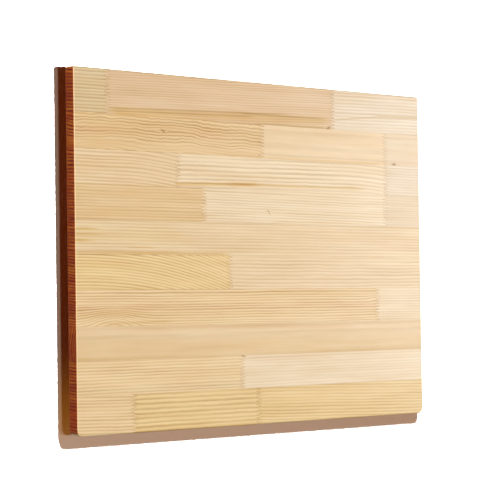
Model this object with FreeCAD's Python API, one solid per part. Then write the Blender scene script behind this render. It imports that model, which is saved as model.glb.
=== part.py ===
import FreeCAD, Part
import math
import os

from FreeCAD import Vector

# Wall mounted drop leaf table: a finger-jointed pine leaf on two folding steel brackets.
#
# Frame, in millimetres: X runs along the wall, Y into the wall and Z up. The wall's face is the
# plane Y = 0, and the table stands out from it to negative Y. The origin is the centre of the four
# outer wall screws, on the wall's face. The table is modelled folded, with its leaf hanging down.
#
# Each bracket is worked out in its own (x, u, w): x sideways from the bracket's centre, u from the
# hinge axis down the folded leaf, and w from the hinge axis away from the wall, towards the leaf.

# ---------------------------------------------------------------- driving dimensions

# leaf
LEAF_WIDTH = 700.0
LEAF_DEPTH = 500.0
LEAF_THICKNESS = 18.0
FREE_CORNER_R = 10.0
WALL_CORNER_R = 3.0
LEAF_EDGE_ROUND = 2.0
LEAF_WALL_CLEARANCE = 2.0

# staves: the rip widths of the rows from the wall edge to the free edge, and where the joints of
# each row lie from the left end. Both are stretched to fill the leaf.
ROW_WIDTHS = (61.5, 49.5, 48.0, 47.5, 47.5, 48.5, 50.0, 46.0, 48.0, 53.5)
ROW_JOINTS = (
    (58.5, 503.0),
    (353.0, 620.0),
    (187.0, 621.0),
    (236.0, 619.0),
    (),
    (285.0,),
    (597.0,),
    (),
    (307.0,),
    (101.0, 339.0),
)
ROW_LENGTH = 700.0
FINGER_LENGTH = 10.0
FINGER_PITCH = 5.0
FINGER_TIP = 0.6

# bracket layout
BRACKET_SPACING = 460.0
HINGE_TO_WALL = 15.0
HINGE_TO_LEAF = 15.0
STRUT_PIVOT_DROP = 70.0
STRUT_LENGTH = 159.2
LUG_R = 8.0
BEND_R = 1.2

# leaf arm
LEAF_ARM_LENGTH = 350.0
LEAF_ARM_WIDTH = 22.0
LEAF_ARM_SHEET = 1.5
LEAF_ARM_SLOT_EDGE = 6.0
LEAF_ARM_WAIST_DEPTH = 12.5
LEAF_ARM_NOSE_DEPTH = 9.5
LEAF_ARM_TAB = 28.0
LEAF_ARM_TIP_ROUND = 0.98
SLOT_BORDER = 8.0
SLOT_TAPER_IN = 24.0
SLOT_TAPER_OUT = 32.0
SLOT_CLEARANCE = 0.2

# strut
STRUT_SHEET = 1.5
STRUT_WEB_GAP = 0.6
STRUT_LIP = 6.5
STRUT_END_R = 7.2
STRUT_WEB_START = 12.0
STRUT_WEB_END = 5.0
STRUT_HOLE_R = 3.0
STRUT_OVAL_LENGTH = 12.0

# wall arm
WALL_ARM_RISE = 10.0
WALL_ARM_DROP = 158.0
WALL_ARM_SHEET = 2.0
WALL_ARM_LIP = 7.0
WALL_ARM_TAPER_START = 95.0
WALL_ARM_END_DEPTH = 12.5
WALL_HOLE_R = 2.6
WALL_HOLE_TOP_DROP = 26.0
WALL_HOLE_SPACING = 108.0
WALL_HOLE_MIDDLE_DROP = 104.0

# pins, rivets, washers and gaps
PIN_R = 3.0
PIN_CLEARANCE = 0.06
RIVET_HEAD_R = 5.0
RIVET_HEAD_HEIGHT = 1.9
SIDE_GAP = 0.6
PIN_END_GAP = 0.3
WASHER_THICKNESS = 0.8
WASHER_R = 6.0
BUSH_R = 6.5
FACE_GAP = 0.1
COLLAR_R = 5.2
COLLAR_WIDTH = 1.9

# release lever
LEVER_PIVOT_U = 24.0
LEVER_PIN_LIP = 1.2
LEVER_PIN_HEAD = 1.2
LEVER_SHEET = 1.5
LEVER_WIDTH = 14.0
LEVER_EAR_LIP = 1.0
LEVER_EAR_GAP = 0.5
LEVER_SLIDE_GAP = 0.6
LATCH_NOSE = 3.0
LATCH_GAP = 0.3
LATCH_DEPTH = 1.2
LEVER_TAIL_U = 15.0
GRIP_LENGTH = 43.0
GRIP_SLOPE_DEG = 12.0
GRIP_WIDTH = 9.0
SLEEVE_WALL = 1.1
SLEEVE_LENGTH = 35.0
DRIVER_HOLE_R = 4.4

# lever spring
SPRING_WIRE_R = 0.4
SPRING_BEND_R = 0.45
SPRING_PLATE_GAP = 0.5
SPRING_PIN_GAP = 0.6
SPRING_TURNS = 5.5
SPRING_PITCH = 1.2
SPRING_LONG_LEG = 10.0
SPRING_SHORT_LEG = 7.0

# wood screws
SCREW_DROPS = (84.0, 120.0, 265.0, 335.0)
SCREW_R = 1.9
SCREW_HEAD_R = 3.9
SCREW_POINT = 2.5
SCREW_POINT_R = 0.2
SCREW_COVER = 2.5
SCREW_CLEARANCE = 0.1
DRIVE_LENGTH = 4.6
DRIVE_WIDTH = 1.0
DRIVE_DEPTH = 1.2

# how far a cutting shape runs past what it cuts, and a length past every piece
PAST = 1.0
REACH = 1000.0

# ---------------------------------------------------------------- worked out

HINGE_Y = -HINGE_TO_WALL
HINGE_Z = WALL_HOLE_TOP_DROP + WALL_HOLE_SPACING / 2
LEAF_TOP_U = LEAF_WALL_CLEARANCE - HINGE_TO_WALL
LEAF_FACE_W = HINGE_TO_LEAF

SLIDE_FOLDED_U = STRUT_PIVOT_DROP + STRUT_LENGTH
SLIDE_OPEN_U = math.sqrt(STRUT_LENGTH**2 - STRUT_PIVOT_DROP**2)
HOLE_R = PIN_R + PIN_CLEARANCE

ARM_HALF = LEAF_ARM_WIDTH / 2
ARM_INNER = ARM_HALF - LEAF_ARM_SHEET
ARM_WEB_W = HINGE_TO_LEAF - LEAF_ARM_SHEET
STRUT_INNER = ARM_HALF + SIDE_GAP
STRUT_HALF = STRUT_INNER + STRUT_SHEET
STRUT_WEB_W = -(LEAF_ARM_SLOT_EDGE + STRUT_WEB_GAP)
WALL_INNER = STRUT_HALF + WASHER_THICKNESS + 2 * FACE_GAP
WALL_HALF = WALL_INNER + WALL_ARM_SHEET
WALL_WEB_W = WALL_ARM_SHEET - HINGE_TO_WALL

LEVER_LOW_W = PIN_R + LEVER_SLIDE_GAP
LEVER_TOP_W = LEVER_LOW_W + LEVER_SHEET
LEVER_HALF = LEVER_WIDTH / 2
LEVER_ROOM = ARM_WEB_W - LEVER_EAR_GAP - LEVER_TOP_W - SPRING_PLATE_GAP
SPRING_R = (LEVER_ROOM - LEVER_EAR_LIP - SPRING_WIRE_R) / 2
LEVER_EAR_R = SPRING_R + LEVER_EAR_LIP
LEVER_PIN_R = SPRING_R - SPRING_WIRE_R - SPRING_PIN_GAP
LEVER_PIVOT_W = ARM_WEB_W - LEVER_EAR_GAP - LEVER_EAR_R
NOSE_U = SLIDE_OPEN_U + PIN_R + LATCH_GAP
LEVER_PIN_HALF = ARM_HALF + LEVER_PIN_HEAD
GRIP_START_U = LEVER_TAIL_U + LEVER_SHEET
SLEEVE_HALF = GRIP_WIDTH / 2 + SLEEVE_WALL


# ---------------------------------------------------------------- helpers

def at(x, u, w):
    """The point (x, u, w) of a bracket at the middle of the table, in the table's frame."""
    return Vector(x, HINGE_Y - w, HINGE_Z - u)


def rounded_face(points, radii):
    """A flat face inside straight edges between the points, each corner rounded by its radius."""
    starts = []
    ends = []
    middles = []
    for i, corner in enumerate(points):
        before = (points[i - 1] - corner).normalize()
        after = (points[(i + 1) % len(points)] - corner).normalize()
        if radii[i] == 0:
            starts.append(corner)
            ends.append(corner)
            middles.append(None)
            continue
        half = before.getAngle(after) / 2
        along = radii[i] / math.tan(half)
        inward = (before + after).normalize()
        starts.append(corner + before * along)
        ends.append(corner + after * along)
        middles.append(corner + inward * (radii[i] / math.sin(half) - radii[i]))
    edges = []
    for i, start in enumerate(starts):
        if middles[i] is not None:
            edges.append(Part.Arc(start, middles[i], ends[i]).toShape())
        following = starts[(i + 1) % len(starts)]
        edges.append(Part.LineSegment(ends[i], following).toShape())
    return Part.Face(Part.Wire(edges))


def side_plate(outline, x_from, x_to):
    """A plate across x, from a side outline of (u, w, corner radius)."""
    points = [at(x_from, u, w) for u, w, _ in outline]
    radii = [radius for _, _, radius in outline]
    return rounded_face(points, radii).extrude(Vector(x_to - x_from, 0, 0))


def block(x, u, w):
    """A box between the two values of each of x, u and w."""
    low = Vector(x[0], HINGE_Y - w[1], HINGE_Z - u[1])
    return Part.makeBox(x[1] - x[0], w[1] - w[0], u[1] - u[0], low)


def rod(radius, x, u, w):
    """A round bar along x at (u, w)."""
    return Part.makeCylinder(radius, x[1] - x[0], at(x[0], u, w), Vector(1, 0, 0))


def bore(radius, w, u, x=0.0):
    """A round bar along w, from the wall's side to the leaf's side, at (x, u)."""
    return Part.makeCylinder(radius, w[1] - w[0], at(x, u, w[0]), Vector(0, -1, 0))


def cone(radii, w, u):
    """A cone along w whose radius goes from the first to the second of radii."""
    return Part.makeCone(radii[0], radii[1], w[1] - w[0], at(0, u, w[0]), Vector(0, -1, 0))


def ring(outer, inner, x, u, w):
    return rod(outer, x, u, w).cut(rod(inner, x, u, w))


def dome(radius, height, x, u, w):
    """A rivet's domed head that stands on the plane x and points to positive x."""
    ball_r = (radius**2 + height**2) / (2 * height)
    ball = Part.makeSphere(ball_r, at(x + height - ball_r, u, w))
    return ball.common(rod(radius + PAST, (x, x + height + PAST), u, w))


def mirrored(shape):
    return shape.mirror(Vector(0, 0, 0), Vector(1, 0, 0))


def pair(shape):
    """The shape and its mirror image in the bracket's middle plane, as two solids."""
    return Part.makeCompound([shape, mirrored(shape)])


def channel(outline, half, sheet, web_inner, flanges_toward_leaf):
    """A folded channel: the side outline across its whole width, hollow between its flanges."""
    body = side_plate(outline, -half, half)
    edge = outline[0][1]
    long_edges = [
        e for e in body.Edges
        if abs(e.BoundBox.XMin) > half - 0.01
        and e.BoundBox.XLength < 0.01
        and e.BoundBox.YLength < 0.01
        and abs(e.BoundBox.YMin - (HINGE_Y - edge)) < 0.01
    ]
    body = body.makeFillet(BEND_R, long_edges)
    hollow_w = (web_inner, REACH) if flanges_toward_leaf else (-REACH, web_inner)
    return body.cut(block((-(half - sheet), half - sheet), (-REACH, REACH), hollow_w))


# ---------------------------------------------------------------- leaf

def panel():
    """The glued panel before it is told apart into staves: rounded corners and eased edges."""
    half = LEAF_WIDTH / 2
    back_w = LEAF_FACE_W
    low_u = LEAF_TOP_U + LEAF_DEPTH
    corners = [
        at(-half, LEAF_TOP_U, back_w),
        at(half, LEAF_TOP_U, back_w),
        at(half, low_u, back_w),
        at(-half, low_u, back_w),
    ]
    radii = [WALL_CORNER_R, WALL_CORNER_R, FREE_CORNER_R, FREE_CORNER_R]
    solid = rounded_face(corners, radii).extrude(Vector(0, -LEAF_THICKNESS, 0))
    flat = [e for e in solid.Edges if e.BoundBox.YLength < 0.01]
    return solid.makeFillet(LEAF_EDGE_ROUND, flat)


def finger_line(x, u_from, u_to):
    """The blunt zigzag of a finger joint at x, across a row from u_from to u_to."""
    fingers = max(3, round((u_to - u_from) / FINGER_PITCH))
    pitch = (u_to - u_from) / fingers
    left = x - FINGER_LENGTH / 2
    right = x + FINGER_LENGTH / 2
    line = [(left, u_from)]
    for k in range(fingers):
        top = u_from + k * pitch
        line.append((left, top + FINGER_TIP / 2))
        line.append((right, top + (pitch - FINGER_TIP) / 2))
        line.append((right, top + (pitch + FINGER_TIP) / 2))
        line.append((left, top + pitch - FINGER_TIP / 2))
    line.append((left, u_to))
    return line


def stave_cutter(left_line, right_line):
    """A prism right through the leaf between two lines that both run down the row."""
    outline = left_line + right_line[::-1]
    points = [at(x, u, LEAF_FACE_W - PAST) for x, u in outline]
    face = rounded_face(points, [0] * len(points))
    return face.extrude(Vector(0, -LEAF_THICKNESS - 2 * PAST, 0))


def staves(board):
    """Every stave of the leaf by name, row 1 at the wall edge."""
    found = {}
    half = LEAF_WIDTH / 2
    stretch_u = LEAF_DEPTH / sum(ROW_WIDTHS)
    stretch_x = LEAF_WIDTH / ROW_LENGTH
    u_from = LEAF_TOP_U
    for row, (width, joints) in enumerate(zip(ROW_WIDTHS, ROW_JOINTS), start=1):
        u_to = u_from + width * stretch_u
        lines = [[(-half - PAST, u_from), (-half - PAST, u_to)]]
        for joint in joints:
            lines.append(finger_line(joint * stretch_x - half, u_from, u_to))
        lines.append([(half + PAST, u_from), (half + PAST, u_to)])
        for stave in range(len(lines) - 1):
            cutter = stave_cutter(lines[stave], lines[stave + 1])
            found[f"row_{row:02d}_stave_{stave + 1}"] = board.common(cutter)
        u_from = u_to
    return found


# ---------------------------------------------------------------- wood screws

def leaf_screw(u):
    """A countersunk wood screw, its head flush with the inside of the leaf arm's web."""
    neck_w = ARM_WEB_W + SCREW_HEAD_R - SCREW_R
    tip_w = LEAF_FACE_W + LEAF_THICKNESS - SCREW_COVER
    screw = cone((SCREW_HEAD_R, SCREW_R), (ARM_WEB_W, neck_w), u)
    screw = screw.fuse(bore(SCREW_R, (neck_w, tip_w - SCREW_POINT), u))
    point = cone((SCREW_R, SCREW_POINT_R), (tip_w - SCREW_POINT, tip_w), u)
    screw = screw.fuse(point).removeSplitter()
    drive = (-DRIVE_LENGTH / 2, DRIVE_LENGTH / 2)
    slim = (-DRIVE_WIDTH / 2, DRIVE_WIDTH / 2)
    depth = (ARM_WEB_W - PAST, ARM_WEB_W + DRIVE_DEPTH)
    screw = screw.cut(block(drive, (u + slim[0], u + slim[1]), depth))
    return screw.cut(block(slim, (u + drive[0], u + drive[1]), depth))


def screw_hole(u):
    """The room for one screw: a countersink through the web and into the wood, then its hole."""
    wide = SCREW_HEAD_R + SCREW_CLEARANCE
    slim = SCREW_R + SCREW_CLEARANCE
    tip_w = LEAF_FACE_W + LEAF_THICKNESS - SCREW_COVER
    sink = cone((wide, slim), (ARM_WEB_W, ARM_WEB_W + wide - slim), u)
    return sink.fuse(bore(slim, (ARM_WEB_W, tip_w + SCREW_CLEARANCE), u))


# ---------------------------------------------------------------- bracket

def wall_arm():
    low = -HINGE_TO_WALL
    outline = [
        (-WALL_ARM_RISE, low, 0),
        (-WALL_ARM_RISE, WALL_ARM_LIP, WALL_ARM_LIP),
        (WALL_ARM_TAPER_START, WALL_ARM_LIP, 2 * WALL_ARM_LIP),
        (WALL_ARM_DROP, low + WALL_ARM_END_DEPTH, WALL_ARM_LIP),
        (WALL_ARM_DROP, low, 0),
    ]
    arm = channel(outline, WALL_HALF, WALL_ARM_SHEET, WALL_WEB_W, True)
    through = (-WALL_HALF - PAST, WALL_HALF + PAST)
    arm = arm.cut(rod(HOLE_R, through, 0, 0))
    arm = arm.cut(rod(HOLE_R, through, STRUT_PIVOT_DROP, 0))
    bottom = WALL_HOLE_TOP_DROP + WALL_HOLE_SPACING
    for u in (WALL_HOLE_TOP_DROP, WALL_HOLE_MIDDLE_DROP, bottom):
        arm = arm.cut(bore(WALL_HOLE_R, (low - PAST, WALL_WEB_W + PAST), u))
    return arm


def hinge_pin():
    pin = rod(PIN_R, (-WALL_HALF, WALL_HALF), 0, 0)
    head = dome(RIVET_HEAD_R, RIVET_HEAD_HEIGHT, WALL_HALF, 0, 0)
    return pin.fuse(head).fuse(mirrored(head))


def hinge_bushes():
    return pair(ring(BUSH_R, HOLE_R, (ARM_HALF + FACE_GAP, WALL_INNER - FACE_GAP), 0, 0))


def strut_pivot_rivets():
    shank = rod(PIN_R, (STRUT_INNER, WALL_HALF), STRUT_PIVOT_DROP, 0)
    head = dome(RIVET_HEAD_R, RIVET_HEAD_HEIGHT, WALL_HALF, STRUT_PIVOT_DROP, 0)
    return pair(shank.fuse(head))


def strut_pivot_washers():
    x = (STRUT_HALF + FACE_GAP, WALL_INNER - FACE_GAP)
    return pair(ring(WASHER_R, HOLE_R, x, STRUT_PIVOT_DROP, 0))


def leaf_arm():
    slot_in = SLIDE_OPEN_U - PIN_R - SLOT_CLEARANCE
    slot_out = SLIDE_FOLDED_U + PIN_R + SLOT_CLEARANCE
    waist_w = HINGE_TO_LEAF - LEAF_ARM_WAIST_DEPTH
    nose_w = HINGE_TO_LEAF - LEAF_ARM_NOSE_DEPTH
    edge_w = -LEAF_ARM_SLOT_EDGE
    outline = [
        (-LUG_R, HINGE_TO_LEAF, 0),
        (LEAF_ARM_LENGTH, HINGE_TO_LEAF, 0),
        (LEAF_ARM_LENGTH, ARM_WEB_W, 0),
        (LEAF_ARM_LENGTH - LEAF_ARM_TAB, ARM_WEB_W, 0),
        (slot_out + SLOT_TAPER_OUT, nose_w, 2 * SLOT_BORDER),
        (slot_out + SLOT_BORDER, edge_w, SLOT_BORDER),
        (slot_in - SLOT_BORDER, edge_w, SLOT_BORDER),
        (slot_in - SLOT_TAPER_IN, waist_w, SLOT_BORDER),
        (2 * LUG_R, waist_w, LUG_R / 2),
        (LUG_R, -LUG_R, LUG_R / 4),
        (-LUG_R, -LUG_R, LUG_R),
    ]
    arm = channel(outline, ARM_HALF, LEAF_ARM_SHEET, ARM_WEB_W, False)
    through = (-ARM_HALF - PAST, ARM_HALF + PAST)
    slot_half = PIN_R + SLOT_CLEARANCE
    slot = block(through, (SLIDE_OPEN_U, SLIDE_FOLDED_U), (-slot_half, slot_half))
    slot = slot.fuse(rod(slot_half, through, SLIDE_OPEN_U, 0))
    slot = slot.fuse(rod(slot_half, through, SLIDE_FOLDED_U, 0))
    arm = arm.cut(slot)
    arm = arm.cut(rod(HOLE_R, through, 0, 0))
    arm = arm.cut(rod(LEVER_PIN_R + PIN_CLEARANCE, through, LEVER_PIVOT_U, LEVER_PIVOT_W))
    tip = [
        at(-ARM_HALF, LEAF_ARM_LENGTH, -REACH),
        at(ARM_HALF, LEAF_ARM_LENGTH, -REACH),
        at(ARM_HALF, -REACH, -REACH),
        at(-ARM_HALF, -REACH, -REACH),
    ]
    tip_r = LEAF_ARM_TIP_ROUND * ARM_HALF
    plan = rounded_face(tip, [tip_r, tip_r, 0, 0]).extrude(Vector(0, -2 * REACH, 0))
    arm = arm.common(plan)
    for u in SCREW_DROPS:
        arm = arm.cut(screw_hole(u))
    return arm


def strut():
    end = STRUT_LENGTH + STRUT_END_R
    web_outer = STRUT_WEB_W - STRUT_SHEET
    outline = [
        (STRUT_PIVOT_DROP - STRUT_END_R, web_outer, STRUT_END_R),
        (STRUT_PIVOT_DROP - STRUT_END_R, STRUT_LIP, STRUT_END_R),
        (STRUT_PIVOT_DROP + end, STRUT_LIP, STRUT_END_R),
        (STRUT_PIVOT_DROP + end, web_outer, STRUT_END_R),
    ]
    body = channel(outline, STRUT_HALF, STRUT_SHEET, STRUT_WEB_W, True)
    inside = (-STRUT_INNER, STRUT_INNER)
    web_from = STRUT_PIVOT_DROP + STRUT_WEB_START
    web_to = SLIDE_FOLDED_U - STRUT_WEB_END
    body = body.cut(block(inside, (-REACH, web_from), (-REACH, REACH)))
    body = body.cut(block(inside, (web_to, REACH), (-REACH, REACH)))
    through = (-STRUT_HALF - PAST, STRUT_HALF + PAST)
    body = body.cut(rod(HOLE_R, through, STRUT_PIVOT_DROP, 0))
    body = body.cut(rod(HOLE_R, through, SLIDE_FOLDED_U, 0))
    deep = (web_outer - PAST, STRUT_WEB_W + PAST)
    middle = (web_from + web_to) / 2
    body = body.cut(bore(STRUT_HOLE_R, deep, middle - STRUT_OVAL_LENGTH / 2))
    oval_from = middle + STRUT_OVAL_LENGTH
    oval_to = oval_from + STRUT_OVAL_LENGTH - 2 * STRUT_HOLE_R
    oval = block((-STRUT_HOLE_R, STRUT_HOLE_R), (oval_from, oval_to), deep)
    oval = oval.fuse(bore(STRUT_HOLE_R, deep, oval_from))
    oval = oval.fuse(bore(STRUT_HOLE_R, deep, oval_to))
    return body.cut(oval)


def strut_end_rivets():
    shank = rod(PIN_R, (STRUT_INNER, STRUT_HALF), SLIDE_FOLDED_U, 0)
    head = dome(RIVET_HEAD_R, RIVET_HEAD_HEIGHT, STRUT_HALF, SLIDE_FOLDED_U, 0)
    return pair(shank.fuse(head))


def slide_pin():
    half = STRUT_INNER - PIN_END_GAP
    return rod(PIN_R, (-half, half), SLIDE_FOLDED_U, 0)


def slide_collars():
    outer = ARM_INNER - 2 * FACE_GAP
    return pair(ring(COLLAR_R, PIN_R, (outer - COLLAR_WIDTH, outer), SLIDE_FOLDED_U, 0))


def grip_point(along, across):
    """A point of the lever's grip, along its slope and across it, as (u, w)."""
    slope = math.radians(GRIP_SLOPE_DEG)
    u = GRIP_START_U + along * math.cos(slope) - across * math.sin(slope)
    w = -along * math.sin(slope) - across * math.cos(slope)
    return u, w


def release_lever():
    """The stamped lever: plate, two ears on its pin, tail, hooked nose and the strip of the grip."""
    wide = (-LEVER_HALF, LEVER_HALF)
    nose_end = NOSE_U + LATCH_NOSE
    lever = block(wide, (LEVER_TAIL_U, nose_end), (LEVER_LOW_W, LEVER_TOP_W))
    nose = [
        (NOSE_U, LEVER_TOP_W, 0),
        (nose_end, LEVER_TOP_W, 0),
        (nose_end, PIN_R - LATCH_DEPTH, 0),
        (nose_end - LATCH_NOSE / 2, -LATCH_DEPTH, 0),
        (NOSE_U, -LATCH_DEPTH, 0),
    ]
    lever = lever.fuse(side_plate(nose, -LEVER_HALF, LEVER_HALF))
    strip = (-GRIP_WIDTH / 2, GRIP_WIDTH / 2)
    tail_top = ARM_WEB_W - FACE_GAP
    lever = lever.fuse(block(strip, (LEVER_TAIL_U, GRIP_START_U), (-LEVER_SHEET, tail_top)))
    foot = [grip_point(0, 0), grip_point(GRIP_LENGTH, 0)]
    foot += [grip_point(GRIP_LENGTH, LEVER_SHEET), grip_point(-LEVER_SHEET, LEVER_SHEET)]
    outline = [(u, w, 0) for u, w in foot]
    lever = lever.fuse(side_plate(outline, strip[0], strip[1]))
    for side in (-1, 1):
        x = sorted((side * (LEVER_HALF - LEVER_SHEET), side * LEVER_HALF))
        ear_u = (LEVER_PIVOT_U - LEVER_EAR_R, LEVER_PIVOT_U + LEVER_EAR_R)
        lever = lever.fuse(block(x, ear_u, (LEVER_LOW_W, LEVER_PIVOT_W)))
        lever = lever.fuse(rod(LEVER_EAR_R, x, LEVER_PIVOT_U, LEVER_PIVOT_W))
    lever = lever.cut(rod(LEVER_PIN_R + PIN_CLEARANCE, wide, LEVER_PIVOT_U, LEVER_PIVOT_W))
    for u in SCREW_DROPS:
        if u < NOSE_U - DRIVER_HOLE_R:
            hole = bore(DRIVER_HOLE_R, (LEVER_LOW_W - PAST, LEVER_TOP_W + PAST), u)
            lever = lever.cut(hole)
    return lever.removeSplitter()


def lever_sleeve():
    """The soft sleeve that is pushed over the lever's strip, closed at its end."""
    start = GRIP_LENGTH - SLEEVE_LENGTH
    end = GRIP_LENGTH + SLEEVE_WALL
    outer_low = LEVER_SHEET + SLEEVE_WALL
    corners = [(start, -SLEEVE_WALL), (end, -SLEEVE_WALL), (end, outer_low), (start, outer_low)]
    outline = [(*grip_point(along, across), SLEEVE_WALL) for along, across in corners]
    sleeve = side_plate(outline, -SLEEVE_HALF, SLEEVE_HALF)
    mouth = start - PAST
    room = [(mouth, 0), (GRIP_LENGTH, 0), (GRIP_LENGTH, LEVER_SHEET), (mouth, LEVER_SHEET)]
    inside = [(*grip_point(along, across), 0) for along, across in room]
    return sleeve.cut(side_plate(inside, -GRIP_WIDTH / 2, GRIP_WIDTH / 2))


def lever_pin():
    half = (-LEVER_PIN_HALF, LEVER_PIN_HALF)
    pin = rod(LEVER_PIN_R, half, LEVER_PIVOT_U, LEVER_PIVOT_W)
    head_r = LEVER_PIN_R + LEVER_PIN_LIP
    head = rod(head_r, (ARM_HALF, LEVER_PIN_HALF), LEVER_PIVOT_U, LEVER_PIVOT_W)
    return pin.fuse(head).fuse(mirrored(head))


def lever_spring():
    """A torsion spring round the lever's pin. One leg bears on the web, one on the lever."""
    length = SPRING_TURNS * SPRING_PITCH
    helix = Part.makeHelix(SPRING_PITCH, length, SPRING_R)
    start = Vector(SPRING_R, 0, 0)
    rise = SPRING_PITCH / (2 * math.pi)
    profile = Part.Wire(Part.makeCircle(SPRING_WIRE_R, start, Vector(0, SPRING_R, rise)))
    coil = Part.Wire(helix.Edges).makePipeShell([profile], True, True)
    # the helix stands along Z from (r, 0, 0): turn it to lie along x, with its start nearest the wall
    coil.rotate(Vector(0, 0, 0), Vector(0, 1, 0), 90)
    coil.rotate(Vector(0, 0, 0), Vector(1, 0, 0), 90)
    coil.translate(at(-length / 2, LEVER_PIVOT_U, LEVER_PIVOT_W))
    down = Vector(0, 0, -1)
    wall_end = at(-length / 2, LEVER_PIVOT_U, LEVER_PIVOT_W - SPRING_R)
    leaf_end = at(length / 2, LEVER_PIVOT_U, LEVER_PIVOT_W + SPRING_R)
    for end, leg in ((wall_end, SPRING_SHORT_LEG), (leaf_end, SPRING_LONG_LEG)):
        coil = coil.fuse(Part.makeSphere(SPRING_BEND_R, end))
        coil = coil.fuse(Part.makeCylinder(SPRING_WIRE_R, leg, end, down))
    return coil


def leaf_screws():
    return Part.makeCompound([leaf_screw(u) for u in SCREW_DROPS])


BRACKET_PIECES = {
    "wall_arm": wall_arm,
    "hinge_pin": hinge_pin,
    "hinge_bushes": hinge_bushes,
    "strut_pivot_rivets": strut_pivot_rivets,
    "strut_pivot_washers": strut_pivot_washers,
    "leaf_arm": leaf_arm,
    "strut": strut,
    "strut_end_rivets": strut_end_rivets,
    "slide_pin": slide_pin,
    "slide_collars": slide_collars,
    "release_lever": release_lever,
    "lever_sleeve": lever_sleeve,
    "lever_pin": lever_pin,
    "lever_spring": lever_spring,
    "leaf_screws": leaf_screws,
}


# ---------------------------------------------------------------- the whole table

def table():
    """Every piece of the table by name."""
    pieces = {}
    sides = {"left": -BRACKET_SPACING / 2, "right": BRACKET_SPACING / 2}
    for name, make in BRACKET_PIECES.items():
        piece = make()
        for side, x in sides.items():
            pieces[f"{side}_{name}"] = piece.translated(Vector(x, 0, 0))
    board = panel()
    for x in sides.values():
        for u in SCREW_DROPS:
            board = board.cut(screw_hole(u).translated(Vector(x, 0, 0)))
    pieces.update(staves(board))
    return pieces


os.makedirs("parts", exist_ok=True)
for name, piece in table().items():
    piece.exportStep(f"parts/{name}.step")
    print(name, len(piece.Solids), round(piece.Volume, 1), piece.isValid())
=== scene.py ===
import math
from dataclasses import dataclass

import bpy
from mathutils import Matrix, Vector


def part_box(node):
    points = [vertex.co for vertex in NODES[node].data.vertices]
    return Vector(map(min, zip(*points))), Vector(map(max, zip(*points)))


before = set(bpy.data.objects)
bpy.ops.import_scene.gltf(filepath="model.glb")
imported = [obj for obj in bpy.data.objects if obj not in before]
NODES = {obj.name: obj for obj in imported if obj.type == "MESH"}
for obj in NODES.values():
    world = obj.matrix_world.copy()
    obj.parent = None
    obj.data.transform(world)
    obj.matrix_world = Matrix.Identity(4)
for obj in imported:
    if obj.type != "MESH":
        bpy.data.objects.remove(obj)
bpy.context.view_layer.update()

# Looks of the wall mounted drop leaf table, in metres, in the frame of its CAD model: X along the
# wall, Y into the wall, Z up. The leaf hangs folded in front of the wall's face, the plane Y = 0.

# ---------------------------------------------------------------- camera and lamps

def leaf_box():
    boxes = [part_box(name) for name in NODES if name.startswith("row_")]
    low = Vector([min(box[0][i] for box in boxes) for i in range(3)])
    high = Vector([max(box[1][i] for box in boxes) for i in range(3)])
    return low, high


LEAF_LOW, LEAF_HIGH = leaf_box()
LEAF_MIDDLE = (LEAF_LOW + LEAF_HIGH) / 2

CAMERA_AT = (-2.063, -2.165, -0.236)
CAMERA_YAW = math.radians(43.92)
CAMERA_PITCH = math.radians(1.62)
CAMERA_ROLL = math.radians(-0.83)
CAMERA_LENS = 145.5
SENSOR = 36.0

WARM_SHADE = (1.0, 0.79, 0.57)
COOL_SHADE = (0.72, 0.91, 1.0)


@dataclass
class Lamp:
    """A rectangular lamp that points at the leaf's middle.

    level is how bright it makes a white face there that is square to its light. lights names what
    it falls on: the table, the floor or the wall. Only the key's light bounces. A lamp that isn't
    mirrored makes no highlights.
    """

    name: str
    azimuth: float
    elevation: float
    distance: float
    size: tuple
    level: float
    lights: str
    colour: tuple = (1.0, 1.0, 1.0)
    mirrored: bool = True


LAMPS = (
    Lamp("key", -14, 21.8, 5.0, (0.20, 0.20), 0.63, "table"),
    Lamp("wall_key", -26.7, 8.4, 1.074, (0.05, 0.05), 4.2, "wall"),
    Lamp("wall_left_key", -23.9, -2.9, 5.0, (0.16, 0.16), 0.152, "wall", WARM_SHADE),
    Lamp("wall_low_key", -13.7, -2.9, 5.0, (0.16, 0.16), 0.092, "wall", COOL_SHADE),
    Lamp("floor_light", -14, 35, 5.0, (0.60, 0.60), 1.30, "floor"),
    Lamp("softbox_right", 62, 4, 2.6, (1.0, 1.2), 0.38, "table"),
    Lamp("fill_left", -80, 6, 3.0, (1.6, 1.6), 0.42, "table"),
    Lamp("fill_low", -8, -38, 2.8, (2.2, 1.4), 0.31, "table"),
    Lamp("fill_top", 5, 78, 5.0, (2.4, 2.4), 0.44, "table floor"),
    Lamp("fill_rear", 168, 28, 3.4, (1.8, 1.4), 0.80, "table", mirrored=False),
)


def direction(azimuth, elevation):
    """The way there from the leaf: azimuth 0 is in front of the wall, 90 to its right."""
    a = math.radians(azimuth)
    e = math.radians(elevation)
    return Vector((math.sin(a) * math.cos(e), -math.cos(a) * math.cos(e), math.sin(e)))


def link(obj):
    bpy.context.scene.collection.objects.link(obj)
    return obj


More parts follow.
